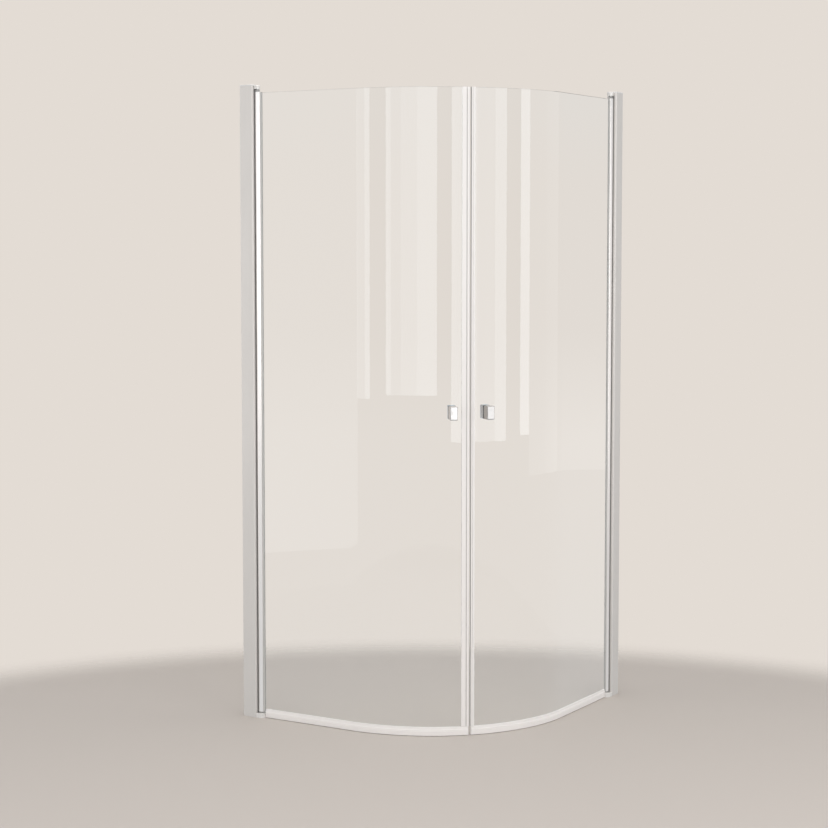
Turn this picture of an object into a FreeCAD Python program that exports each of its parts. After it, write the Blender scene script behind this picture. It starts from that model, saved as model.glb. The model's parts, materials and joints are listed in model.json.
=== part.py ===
import FreeCAD, Part
import os
from math import acos, atan2, cos, degrees, pi, radians, sin, sqrt

# A quadrant shower enclosure: two bent glass doors, each hung on a post that is screwed to its own
# wall, closing against each other on the diagonal of the corner. Millimetres, +Z up. The back wall
# runs along X and the left wall along Y; the origin is on the floor under the middle of the plan.
#
# Both sides are drawn once, in a working frame that has the corner of the plan at its origin:
# u (X) is the distance from the wall that carries the post, v (Y) the distance from the other
# wall. The last section places each piece on its side.

V = FreeCAD.Vector
UP = V(0, 0, 1)
ALONG_U = V(1, 0, 0)
ALONG_V = V(0, 1, 0)
ORIGIN = V(0, 0, 0)

# ---------------------------------------------------------------- driving dimensions
OVERALL = 896.0            # corner of the plan to the outer face of either wall profile
HEIGHT = 2000.0            # floor to the top of the end caps

# wall profile
PROFILE_WIDTH = 36.0       # across the glass line
PROFILE_DEPTH = 47.5       # out from the wall
PROFILE_WALL = 2.2
PROFILE_CORNER = 5.0       # round shoulder beside the mouth
MOUTH = 18.0               # slot between the two lips
LIP_EDGE = 0.8             # rounding of the lips
WALL_HOLE = 2.75
WALL_HOLE_Z = (150.0, 716.0, 1284.0, 1850.0)

# plan
LINE = OVERALL - PROFILE_WIDTH / 2    # middle of the glass, from the other wall
HINGE = 55.0               # hinge axis, from the wall that carries the post
BEND_CENTRE = 400.0        # end of the straight part of a pane, from its wall
BEND_RADIUS = LINE - BEND_CENTRE

# telescoping adjuster profile inside the wall profile
ADJUSTER_FIT = 0.4         # sliding clearance to the wall profile
ADJUSTER_WALL = 1.8
ADJUSTER_PLATE = 2.0       # thickness behind the mouth
ADJUSTER_BACK = 8.0
ADJUSTER_FRONT = PROFILE_DEPTH - PROFILE_WALL - 0.3
ADJUSTER_HALF = PROFILE_WIDTH / 2 - PROFILE_WALL - ADJUSTER_FIT
NOSE_FRONT = PROFILE_DEPTH - 0.3      # nose of the adjuster, in the mouth
NOSE_HALF = MOUTH / 2 - 0.5
PORT_RADIUS = 3.0          # outside of the screw ports
PORT_U = ADJUSTER_FRONT - 4.4
PORT_V = ADJUSTER_HALF - 4.6

# clamp screws through the inner flange
CLAMP_SCREW_Z = (200.0, 1000.0, 1800.0)
CLAMP_SCREW_U = 24.0
CLAMP_SHANK = 1.95
CLAMP_LENGTH = 8.5
CLAMP_HEAD = 3.8
CLAMP_HEAD_HEIGHT = 2.0
CLAMP_SLOT = 1.0
COVER_RADIUS = 5.6
COVER_HEIGHT = 3.4
COVER_WALL = 1.4

# brackets and end cap
BRACKET_HEIGHT = 14.0
TOP_BRACKET_BOTTOM = HEIGHT - BRACKET_HEIGHT
TOP_BRACKET_TOP = HEIGHT - 2.5
TOP_BRACKET_EDGE = 1.5
FOOT_RADIUS = 20.5         # nose of the bottom bracket about the hinge axis
FOOT_EDGE = 1.2
CAP_HEIGHT = 5.0
CAP_EDGE = 2.5
CAP_TAB = 12.0
PROFILE_TOP = HEIGHT - CAP_HEIGHT
BRACKET_SCREW = 1.6
BRACKET_SCREW_LENGTH = 30.0
BRACKET_SCREW_HEAD = 2.9
HEAD_FROM = 0.8            # screw head, from the end of the bracket
HEAD_TO = 3.2

# pivots
PIN_RADIUS = 3.0
PIN_CLEARANCE = 0.05
PIN_REACH = 16.0           # into the hinge tube
PIN_SEAT = 3.0             # solid metal under the bottom pin
PIN_COVER = 2.0            # solid metal over the top pin
FLANGE_RADIUS = 7.0
WASHER_THICKNESS = 1.2
BUSH_LENGTH = 22.0
BUSH_BORE = 18.0

# hinge tube and its gaskets
TUBE_RADIUS = 8.5
TUBE_BORE = 5.05
TUBE_BOTTOM = 18.0
TUBE_TOP = 1977.0
JAW = 6.8                  # half the thickness over the two jaws
JAW_CORNER = 1.6
JAW_END = HINGE + 12.5
SLOT = 4.2                 # half the glass slot between the jaws
SLOT_BOTTOM = HINGE + 6.5
GASKET_FLOOR = 0.8
GASKET_END = JAW_END + 5.5
SEAT_RADIUS = TUBE_RADIUS + 1.1       # concave seat of the adjuster
TUBE_SEAL_GAP = 0.3
TUBE_SEAL_HALF = radians(22)

# panes
GLASS = 6.0
GLASS_BOTTOM = 16.0
GLASS_TOP = 1975.0
GLASS_ARRIS = 0.6

# upright magnetic seals on the free edges
SEAL_GAP = 2.4             # clear gap between the two noses
SEAL_HALF = 4.0            # half the thickness of a nose
SEAL_NOSE_RADIUS = 3.7
SEAL_WEB_HALF = 1.5        # half the thickness of the web between clip and nose
CLIP_HALF = 4.2            # half the thickness of a seal's glass clip
MAGNET_HALF = 1.6
MAGNET_START = SEAL_GAP / 2 + 2.2
MAGNET_COVER = 1.2         # vinyl behind the magnet
# Distances back from the meeting line: end of the nose, start and end of the clip, edge of the glass.
SEAL_PLAN = {
    "left": {"nose_end": 10.0, "clip_start": 13.0, "clip_end": 26.5, "glass_edge": 14.5},
    "right": {"nose_end": 7.4, "clip_start": 8.2, "clip_end": 14.2, "glass_edge": 9.7},
}

# bottom seals
SWEEP_START = HINGE + FOOT_RADIUS + 1.0    # near end, clear of the foot
SWEEP_SETBACK = 4.5                        # far end, from the meeting line
SWEEP_BOTTOM = 1.0
SWEEP_TOP = 28.0
SWEEP_HALF = 6.2
SWEEP_CORNER = 2.0         # rounding of the far end, in plan
LEDGE_TOP = 19.5           # drip ledge
HOLLOW_TOP = GLASS_BOTTOM - 1.5
HOLLOW_END = 3.0           # solid ends of the hollow wiper

# knobs
KNOB_WIDTH = 24.0
KNOB_HEIGHT = 42.0
KNOB_DEPTH = 28.0
KNOB_EDGE = 3.0
KNOB_SETBACK = 55.0        # knob centre, back from the meeting line
KNOB_Z = 995.0
KNOB_BORE = 13.0
KNOB_WASHER = 0.8
KNOB_WASHER_RADIUS = 8.5
STUD_RADIUS = 3.0
STUD_GRIP = 12.0           # thread in each knob
GLASS_HOLE = 5.0
SLEEVE_RADIUS = 4.9
SLEEVE_INSET = 0.5

TOUCH = 1e-6               # tolerance for picking edges


# ---------------------------------------------------------------- drawing aids
def box(u0, u1, v0, v1, z0, z1):
    return Part.makeBox(u1 - u0, v1 - v0, z1 - z0, V(u0, v0, z0))


def bar(u0, u1, half, z0, z1):
    """A block that is centred on the glass line."""
    return box(u0, u1, LINE - half, LINE + half, z0, z1)


def disc(u, v, radius, z0, z1):
    return Part.makeCylinder(radius, z1 - z0, V(u, v, z0), UP)


def on_axis(radius, z0, z1):
    """An upright cylinder on the hinge axis."""
    return disc(HINGE, LINE, radius, z0, z1)


def rod_along_v(u, z, radius, v0, v1):
    return Part.makeCylinder(radius, v1 - v0, V(u, v0, z), ALONG_V)


def stub(radius, x0, x1):
    """A cylinder through the glass at the knobs, drawn about the glass middle."""
    return Part.makeCylinder(radius, x1 - x0, V(x0, 0, KNOB_Z), ALONG_U)


def polygon_face(points):
    return Part.Face(Part.makePolygon(points + [points[0]]))


def upright_edges(shape, test):
    """Vertical edges of a shape whose u and v pass the test."""
    found = []
    for edge in shape.Edges:
        if len(edge.Vertexes) != 2:
            continue
        a, b = edge.Vertexes[0].Point, edge.Vertexes[1].Point
        if abs(a.x - b.x) < TOUCH and abs(a.y - b.y) < TOUCH and test(a.x, a.y):
            found.append(edge)
    return found


def front_edges(shape, u):
    """Vertical edges of a shape within a millimetre of u, or further out."""
    return upright_edges(shape, lambda edge_u, edge_v: edge_u > u - 1)


def level_edges(shape, z, from_u=-1.0):
    """Edges of a shape that lie at height z, from u outwards."""
    found = []
    for edge in shape.Edges:
        bounds = edge.BoundBox
        level = abs(bounds.ZMin - z) < TOUCH and abs(bounds.ZMax - z) < TOUCH
        if level and bounds.Center.x > from_u:
            found.append(edge)
    return found


def edges_at(shape, places):
    """Vertical edges of a shape that stand on one of the given places."""
    def near(u, v):
        return min((V(u, v, 0) - place).Length for place in places) < 0.01
    return upright_edges(shape, near)


def bend_point(w, s):
    """A point w outside the middle of the bent glass and s back from the meeting line."""
    angle = pi / 4 + s / BEND_RADIUS
    radius = BEND_RADIUS + w
    return V(BEND_CENTRE + radius * cos(angle), BEND_CENTRE + radius * sin(angle), 0)


def bend_sector(w0, w1, s0, s1, z0, z1):
    """A curved block on the bent glass, between two offsets and two distances back."""
    middle = (s0 + s1) / 2
    outer = Part.Arc(bend_point(w1, s0), bend_point(w1, middle), bend_point(w1, s1)).toShape()
    inner = Part.Arc(bend_point(w0, s1), bend_point(w0, middle), bend_point(w0, s0)).toShape()
    far = Part.makeLine(bend_point(w1, s1), bend_point(w0, s1))
    near = Part.makeLine(bend_point(w0, s0), bend_point(w1, s0))
    face = Part.Face(Part.Wire([outer, far, inner, near]))
    face.translate(V(0, 0, z0))
    return face.extrude(V(0, 0, z1 - z0))


def along_glass(outline, start, setback):
    """Carry an outline of (w, z) points along the glass, from u = start to setback from the end."""
    section = polygon_face([V(start, LINE + w, z) for w, z in outline])
    straight = section.extrude(V(BEND_CENTRE - start, 0, 0))
    turned = section.copy()
    turned.translate(V(BEND_CENTRE - start, 0, 0))
    turn = -(45 - degrees(setback / BEND_RADIUS))
    bent = turned.revolve(V(BEND_CENTRE, BEND_CENTRE, 0), UP, turn)
    return straight.fuse(bent).removeSplitter()


def on_bend(shape, s):
    """Move a shape drawn about the glass middle (X out, Y along, Z up) to s back from the end."""
    angle = pi / 4 + s / BEND_RADIUS
    shape.rotate(ORIGIN, UP, degrees(angle))
    shape.translate(bend_point(0, s))
    return shape


def mirror_line(points):
    """Complete half an outline, given on the +w side, with its mirror image."""
    return points + [(-w, z) for w, z in reversed(points)]


# ---------------------------------------------------------------- post, fixed to the wall
INNER_FACE = LINE - PROFILE_WIDTH / 2
OUTER_FACE = LINE + PROFILE_WIDTH / 2
SIDES = (-1, 1)


def wall_profile(_side):
    """C-shaped extrusion: web on the wall, two flanges and two lips either side of the mouth."""
    room = PROFILE_WIDTH / 2 - PROFILE_WALL
    shell = bar(0, PROFILE_DEPTH, PROFILE_WIDTH / 2, 0, PROFILE_TOP)
    shell = shell.makeFillet(PROFILE_CORNER, front_edges(shell, PROFILE_DEPTH))
    inside = bar(PROFILE_WALL, PROFILE_DEPTH - PROFILE_WALL, room, 0, PROFILE_TOP)
    corners = front_edges(inside, PROFILE_DEPTH - PROFILE_WALL)
    inside = inside.makeFillet(PROFILE_CORNER - PROFILE_WALL, corners)
    mouth = bar(ADJUSTER_FRONT, PROFILE_DEPTH + 1, MOUTH / 2, 0, PROFILE_TOP)
    shape = shell.cut(inside).cut(mouth)
    lips = upright_edges(shape, lambda u, v: u > PROFILE_DEPTH - 0.1 and abs(v - LINE) < MOUTH / 2 + 0.1)
    shape = shape.makeFillet(LIP_EDGE, lips)
    for z in WALL_HOLE_Z:
        shape = shape.cut(Part.makeCylinder(WALL_HOLE, 2 * PROFILE_WALL, V(-1, LINE, z), ALONG_U))
    for z in CLAMP_SCREW_Z:
        start, end = INNER_FACE - 1, INNER_FACE + 2 * PROFILE_WALL
        shape = shape.cut(rod_along_v(CLAMP_SCREW_U, z, CLAMP_SHANK + 0.25, start, end))
    return shape


def adjuster_profile(_side):
    """Telescoping extrusion inside the wall profile, with a concave seat for the hinge tube."""
    z0, z1 = BRACKET_HEIGHT, TOP_BRACKET_BOTTOM
    shape = bar(ADJUSTER_BACK, ADJUSTER_FRONT, ADJUSTER_HALF, z0, z1)
    shape = shape.makeFillet(PROFILE_CORNER - PROFILE_WALL, front_edges(shape, ADJUSTER_FRONT))
    room = ADJUSTER_HALF - ADJUSTER_WALL
    shape = shape.cut(bar(ADJUSTER_BACK, ADJUSTER_FRONT - ADJUSTER_PLATE, room, z0, z1))
    for side in SIDES:
        shape = shape.fuse(disc(PORT_U, LINE + side * PORT_V, PORT_RADIUS, z0, z1))
    shape = shape.fuse(bar(ADJUSTER_FRONT - 1, NOSE_FRONT, NOSE_HALF, z0, z1))
    shape = shape.cut(on_axis(SEAT_RADIUS, z0, z1))
    for side in SIDES:
        shape = shape.cut(disc(PORT_U, LINE + side * PORT_V, BRACKET_SCREW, z0, z1))
    for z in CLAMP_SCREW_Z:
        thread = rod_along_v(CLAMP_SCREW_U, z, CLAMP_SHANK + 0.05, INNER_FACE, INNER_FACE + CLAMP_LENGTH)
        shape = shape.cut(thread)
    return shape.removeSplitter()


def end_cap(_side):
    """Cap on the top of the wall profile, with a tab that plugs in behind the adjuster."""
    cap = bar(0, PROFILE_DEPTH, PROFILE_WIDTH / 2, PROFILE_TOP, HEIGHT)
    cap = cap.makeFillet(PROFILE_CORNER, front_edges(cap, PROFILE_DEPTH))
    cap = cap.makeFillet(CAP_EDGE, level_edges(cap, HEIGHT))
    tab = bar(PROFILE_WALL + 0.2, ADJUSTER_BACK - 0.8, ADJUSTER_HALF, PROFILE_TOP - CAP_TAB, PROFILE_TOP)
    return cap.fuse(tab)


def tongue(z0, z1):
    """The part of a bracket that sits on the end of the adjuster and reaches out of the mouth."""
    body = bar(ADJUSTER_BACK, ADJUSTER_FRONT, ADJUSTER_HALF, z0, z1)
    body = body.makeFillet(PROFILE_CORNER - PROFILE_WALL, front_edges(body, ADJUSTER_FRONT))
    return body.fuse(bar(ADJUSTER_FRONT - 1, HINGE, NOSE_HALF, z0, z1))


def bracket_bores(shape, head_z0, head_z1, z0, z1):
    """Two screw holes with counterbores for the heads."""
    for side in SIDES:
        v = LINE + side * PORT_V
        shape = shape.cut(disc(PORT_U, v, BRACKET_SCREW + 0.3, z0, z1))
        shape = shape.cut(disc(PORT_U, v, BRACKET_SCREW_HEAD + 0.1, head_z0, head_z1))
    return shape


def top_bracket(_side):
    """Arm over the hinge tube; its round nose is as wide as the tube."""
    z0, z1 = TOP_BRACKET_BOTTOM, TOP_BRACKET_TOP
    nose = on_axis(TUBE_RADIUS, z0, z1).common(bar(HINGE, HINGE + TUBE_RADIUS, TUBE_RADIUS, z0, z1))
    arm = bar(NOSE_FRONT + 0.6, HINGE, TUBE_RADIUS, z0, z1).fuse(nose).removeSplitter()
    arm = arm.makeFillet(TOP_BRACKET_EDGE, level_edges(arm, z1, PROFILE_DEPTH + 1))
    shape = tongue(z0, PROFILE_TOP - 0.2).fuse(arm)
    shape = shape.cut(on_axis(PIN_RADIUS, z0, z1 - PIN_COVER))
    return bracket_bores(shape, PROFILE_TOP - HEAD_TO, HEIGHT, z0, HEIGHT)


def bottom_bracket(_side):
    """Foot under the hinge tube: flush with the wall profile, with a nose round about the axis."""
    start, width, z1 = NOSE_FRONT + 0.6, PROFILE_WIDTH / 2, BRACKET_HEIGHT
    foot = on_axis(FOOT_RADIUS, 0, z1).common(bar(start, HINGE + FOOT_RADIUS, width, 0, z1))
    foot = foot.fuse(bar(start, HINGE + 2, width, 0, z1)).removeSplitter()
    foot = foot.makeFillet(FOOT_EDGE, level_edges(foot, z1, PROFILE_DEPTH + 1))
    shape = tongue(0, z1).fuse(foot)
    shape = shape.cut(on_axis(PIN_RADIUS, PIN_SEAT, z1))
    return bracket_bores(shape, 0, HEAD_TO, 0, z1)


def top_pivot_pin(_side):
    return on_axis(PIN_RADIUS, TUBE_TOP - PIN_REACH, TOP_BRACKET_TOP - PIN_COVER)


def bottom_pivot_pin(_side):
    return on_axis(PIN_RADIUS, PIN_SEAT, TUBE_BOTTOM + PIN_REACH)


def thrust_washer(_side):
    """Plain washer that carries the weight of the door."""
    z0, z1 = BRACKET_HEIGHT, BRACKET_HEIGHT + WASHER_THICKNESS
    return on_axis(FLANGE_RADIUS, z0, z1).cut(on_axis(PIN_RADIUS + PIN_CLEARANCE, z0, z1))


def bracket_screws(_side):
    """Four screws that hold the brackets in the screw ports of the adjuster."""
    screws = []
    for side in SIDES:
        v = LINE + side * PORT_V
        low = disc(PORT_U, v, BRACKET_SCREW_HEAD, HEAD_FROM, HEAD_TO)
        screws.append(low.fuse(disc(PORT_U, v, BRACKET_SCREW, HEAD_TO, BRACKET_SCREW_LENGTH)))
        top = disc(PORT_U, v, BRACKET_SCREW_HEAD, PROFILE_TOP - HEAD_TO, PROFILE_TOP - HEAD_FROM)
        shank = disc(PORT_U, v, BRACKET_SCREW, HEIGHT - BRACKET_SCREW_LENGTH, PROFILE_TOP - HEAD_TO)
        screws.append(top.fuse(shank))
    return Part.makeCompound(screws)


def clamp_screws(_side):
    """Pan-head screws through the inner flange that lock the adjuster where it is set."""
    screws = []
    top = INNER_FACE - CLAMP_HEAD_HEIGHT
    for z in CLAMP_SCREW_Z:
        head = rod_along_v(CLAMP_SCREW_U, z, CLAMP_HEAD, top, INNER_FACE)
        slot = box(CLAMP_SCREW_U - 2.6, CLAMP_SCREW_U + 2.6, top, top + 0.9,
                   z - CLAMP_SLOT / 2, z + CLAMP_SLOT / 2)
        shank = rod_along_v(CLAMP_SCREW_U, z, CLAMP_SHANK, INNER_FACE, INNER_FACE + CLAMP_LENGTH)
        screws.append(head.cut(slot).fuse(shank))
    return Part.makeCompound(screws)


def screw_caps(_side):
    """Snap-on covers over the clamp screw heads."""
    caps = []
    top = INNER_FACE - COVER_HEIGHT
    for z in CLAMP_SCREW_Z:
        cap = rod_along_v(CLAMP_SCREW_U, z, COVER_RADIUS, top, INNER_FACE)
        rim = [edge for edge in cap.Edges if abs(edge.BoundBox.YMax - top) < 1e-3]
        cap = cap.makeFillet(COVER_WALL, rim)
        caps.append(cap.cut(rod_along_v(CLAMP_SCREW_U, z, COVER_RADIUS - COVER_WALL, top + 1, INNER_FACE)))
    return Part.makeCompound(caps)


def tube_seal(_side):
    """Soft strip in the concave seat that closes the gap to the turning tube."""
    z0, z1 = BRACKET_HEIGHT + 2, TOP_BRACKET_BOTTOM - 2

    def seat_arc(radius, start, end):
        angles = (start, 0, end)
        places = [V(HINGE - radius * cos(a), LINE + radius * sin(a), z0) for a in angles]
        return places, Part.Arc(*places).toShape()

    outer, outer_arc = seat_arc(SEAT_RADIUS, -TUBE_SEAL_HALF, TUBE_SEAL_HALF)
    inner, inner_arc = seat_arc(TUBE_RADIUS + TUBE_SEAL_GAP, TUBE_SEAL_HALF, -TUBE_SEAL_HALF)
    ends = [Part.makeLine(outer[2], inner[0]), Part.makeLine(inner[2], outer[0])]
    face = Part.Face(Part.Wire([outer_arc, ends[0], inner_arc, ends[1]]))
    return face.extrude(V(0, 0, z1 - z0))


# ---------------------------------------------------------------- door, turning about the hinge
def hinge_tube(_side):
    """Round tube that tapers to two jaws for the edge of the glass, in one extrusion."""
    z0, z1 = TUBE_BOTTOM, TUBE_TOP
    jaws = bar(HINGE, JAW_END, JAW, z0, z1)
    jaws = jaws.makeFillet(JAW_CORNER, front_edges(jaws, JAW_END))
    # The flanks touch the tube and the corners of the jaws, so they share one normal there.
    corner_u, corner_w = JAW_END - HINGE - JAW_CORNER, JAW - JAW_CORNER
    reach = sqrt(corner_u ** 2 + corner_w ** 2)
    normal = atan2(corner_w, corner_u) + acos((TUBE_RADIUS - JAW_CORNER) / reach)
    near = (HINGE + TUBE_RADIUS * cos(normal), TUBE_RADIUS * sin(normal))
    far = (HINGE + corner_u + JAW_CORNER * cos(normal), corner_w + JAW_CORNER * sin(normal))
    flanks = [V(u, LINE + w, z0) for u, w in (near, far)]
    flanks += [V(u, LINE - w, z0) for u, w in (far, near)]
    taper = polygon_face(flanks).extrude(V(0, 0, z1 - z0))
    shape = on_axis(TUBE_RADIUS, z0, z1).fuse(jaws).fuse(taper).removeSplitter()
    shape = shape.cut(on_axis(TUBE_BORE, z0, z1))
    return shape.cut(bar(SLOT_BOTTOM, JAW_END + 1, SLOT, z0, z1))


def glass_gasket(_side):
    """Channel gasket that lines the slot and closes on the glass with two tapered lips."""
    half, floor = GLASS / 2, SLOT_BOTTOM + GASKET_FLOOR
    lip = [(SLOT_BOTTOM, SLOT), (JAW_END, SLOT), (JAW_END + 0.4, SLOT + 0.5),
           (GASKET_END, half + 0.5), (GASKET_END, half), (floor, half)]
    points = [V(u, LINE + w, TUBE_BOTTOM) for u, w in lip]
    points += [V(u, LINE - w, TUBE_BOTTOM) for u, w in reversed(lip)]
    return polygon_face(points).extrude(V(0, 0, GLASS_TOP - TUBE_BOTTOM))


def bush(flange_z, barrel_z, bore_z):
    """Bush with a flange outside the tube and a barrel in it, bored for the pin."""
    shape = on_axis(FLANGE_RADIUS, *flange_z).fuse(on_axis(TUBE_BORE, *barrel_z))
    return shape.cut(on_axis(PIN_RADIUS + PIN_CLEARANCE, *bore_z))


def top_bush(_side):
    """Plug in the top of the tube that turns on the top pin."""
    top = TOP_BRACKET_BOTTOM - 1.5
    return bush((TUBE_TOP, top), (TUBE_TOP - BUSH_LENGTH, TUBE_TOP), (TUBE_TOP - BUSH_BORE, top))


def bottom_bush(_side):
    """Plug in the foot of the tube that turns on the bottom pin."""
    low = BRACKET_HEIGHT + WASHER_THICKNESS + 0.2
    return bush((low, TUBE_BOTTOM), (TUBE_BOTTOM, TUBE_BOTTOM + BUSH_LENGTH), (low, TUBE_BOTTOM + BUSH_BORE))


def glass(side):
    """Toughened pane: straight beside the post, then bent to the meeting line."""
    half = GLASS / 2
    outline = mirror_line([(half - GLASS_ARRIS, GLASS_BOTTOM), (half, GLASS_BOTTOM + GLASS_ARRIS),
                           (half, GLASS_TOP - GLASS_ARRIS), (half - GLASS_ARRIS, GLASS_TOP)])
    pane = along_glass(outline, SLOT_BOTTOM + GASKET_FLOOR, SEAL_PLAN[side]["glass_edge"])
    return pane.cut(on_bend(stub(GLASS_HOLE, -GLASS, GLASS), KNOB_SETBACK))


def magnet_pocket(side, slack, z0, z1):
    """Space of the magnet inside the nose, smaller all round by the slack."""
    half = MAGNET_HALF - slack
    end = SEAL_PLAN[side]["nose_end"] - MAGNET_COVER
    return bend_sector(-half, half, MAGNET_START + slack, end - slack, z0, z1)


def magnet_seal(side):
    """Upright seal on the free edge: a clip over the glass, a narrow web and a magnetic nose."""
    plan = SEAL_PLAN[side]
    z0, z1 = SWEEP_TOP + 0.5, GLASS_TOP
    nose = bend_sector(-SEAL_HALF, SEAL_HALF, SEAL_GAP / 2, plan["nose_end"], z0, z1)
    tips = [bend_point(w, SEAL_GAP / 2) for w in (-SEAL_HALF, SEAL_HALF)]
    nose = nose.makeFillet(SEAL_NOSE_RADIUS, edges_at(nose, tips))
    web_start, web_end = plan["nose_end"] - 0.5, plan["clip_start"] + 0.5
    web = bend_sector(-SEAL_WEB_HALF, SEAL_WEB_HALF, web_start, web_end, z0, z1)
    clip = bend_sector(-CLIP_HALF, CLIP_HALF, plan["clip_start"], plan["clip_end"], z0, z1)
    clip = clip.cut(bend_sector(-GLASS / 2, GLASS / 2, plan["glass_edge"], plan["clip_end"] + 1, z0, z1))
    shape = nose.fuse(web).fuse(clip).removeSplitter()
    return shape.cut(magnet_pocket(side, 0, z0, z1))


def magnet_strip(side):
    """Magnetic strip that pulls the two noses together."""
    return magnet_pocket(side, 0.05, SWEEP_TOP + 1.0, GLASS_TOP - 0.5)


def bottom_seal(side):
    """Seal under the pane: a clip over the glass edge, a drip ledge, and a hollow wiper near the floor."""
    half, wide, ledge, foot = GLASS / 2, SWEEP_HALF, LEDGE_TOP, SWEEP_BOTTOM
    outside = [(wide - 2.0, foot), (wide - 0.6, foot + 0.6), (wide, foot + 2.0), (wide, ledge - 4.0),
               (wide - 1.2, ledge - 3.2), (wide - 1.2, ledge - 2.0), (wide, ledge - 1.2),
               (wide, ledge - 0.4), (wide - 0.5, ledge), (CLIP_HALF + 0.3, ledge + 0.4),
               (CLIP_HALF, SWEEP_TOP - 0.6), (CLIP_HALF - 0.5, SWEEP_TOP),
               (half, SWEEP_TOP), (half, GLASS_BOTTOM)]
    hollow = [(2.5, foot + 2.2), (4.2, foot + 3.4), (3.8, HOLLOW_TOP - 1.6), (2.5, HOLLOW_TOP)]
    body = along_glass(mirror_line(outside), SWEEP_START, SWEEP_SETBACK)
    core = along_glass(mirror_line(hollow), SWEEP_START + HOLLOW_END, SWEEP_SETBACK + HOLLOW_END)
    plan = along_glass(mirror_line([(wide, 0), (wide, SWEEP_TOP + 1)]), SWEEP_START, SWEEP_SETBACK)
    far = [bend_point(w, SWEEP_SETBACK) for w in (-wide, wide)]
    return body.cut(core).common(plan.makeFillet(SWEEP_CORNER, edges_at(plan, far)))


def knob_block(direction):
    """Block with rounded edges, standing on its washer outside (1) or inside (-1) the glass."""
    base = GLASS / 2 + KNOB_WASHER
    corner = V(base, -KNOB_WIDTH / 2, KNOB_Z - KNOB_HEIGHT / 2)
    block = Part.makeBox(KNOB_DEPTH, KNOB_WIDTH, KNOB_HEIGHT, corner)
    block = block.makeFillet(KNOB_EDGE, [edge for edge in block.Edges if edge.BoundBox.XMax > base + 0.1])
    block = block.cut(stub(STUD_RADIUS, base - 1, base + KNOB_BORE))
    if direction < 0:
        block.rotate(ORIGIN, UP, 180)
    return on_bend(block, KNOB_SETBACK)


def outer_knob(_side):
    return knob_block(1)


def inner_knob(_side):
    return knob_block(-1)


def knob_stud(_side):
    """Threaded stud through the glass that both knobs screw onto."""
    reach = GLASS / 2 + KNOB_WASHER + STUD_GRIP
    return on_bend(stub(STUD_RADIUS, -reach, reach), KNOB_SETBACK)


def knob_sleeve(_side):
    """Soft sleeve that keeps the stud off the edge of the hole in the glass."""
    reach = GLASS / 2 - SLEEVE_INSET
    sleeve = stub(SLEEVE_RADIUS, -reach, reach).cut(stub(STUD_RADIUS, -reach, reach))
    return on_bend(sleeve, KNOB_SETBACK)


def knob_washers(_side):
    """Clear washers between the knobs and the glass; the inner one is ground to the bend."""
    washers = []
    for base in (GLASS / 2, -GLASS / 2 - KNOB_WASHER):
        washer = stub(KNOB_WASHER_RADIUS, base, base + KNOB_WASHER)
        washer = washer.cut(stub(STUD_RADIUS, base, base + KNOB_WASHER))
        washers.append(on_bend(washer, KNOB_SETBACK))
    reach = KNOB_WIDTH / 2
    inside = bend_sector(-GLASS, -GLASS / 2, KNOB_SETBACK - reach, KNOB_SETBACK + reach,
                         KNOB_Z - reach, KNOB_Z + reach)
    return Part.makeCompound([washers[0], washers[1].common(inside)])


# ---------------------------------------------------------------- placing and writing
def place(shape, side):
    """Take a piece from the working frame to its side of the enclosure."""
    if side == "left":
        shape = shape.mirror(ORIGIN, ALONG_V)
    else:
        shape = shape.copy()
        shape.rotate(ORIGIN, UP, -90)
    shape.translate(V(-OVERALL / 2, OVERALL / 2, 0))
    return shape


PIECES = [wall_profile, adjuster_profile, end_cap, top_bracket, bottom_bracket, top_pivot_pin,
          bottom_pivot_pin, thrust_washer, bracket_screws, clamp_screws, screw_caps, tube_seal,
          hinge_tube, glass_gasket, top_bush, bottom_bush, glass, magnet_seal, magnet_strip,
          bottom_seal, outer_knob, inner_knob, knob_stud, knob_sleeve, knob_washers]

os.makedirs("parts", exist_ok=True)
for side_name in ("left", "right"):
    for piece in PIECES:
        solid = place(piece(side_name), side_name)
        name = side_name + "_" + piece.__name__
        solid.exportStep("parts/" + name + ".step")
        print(name, "solids", len(solid.Solids), "valid", solid.isValid(), "volume", round(solid.Volume, 1))
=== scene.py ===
import json
import math

import bmesh
import bpy
from bpy.props import FloatProperty, FloatVectorProperty, IntProperty, PointerProperty
from mathutils import Matrix, Vector


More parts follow.
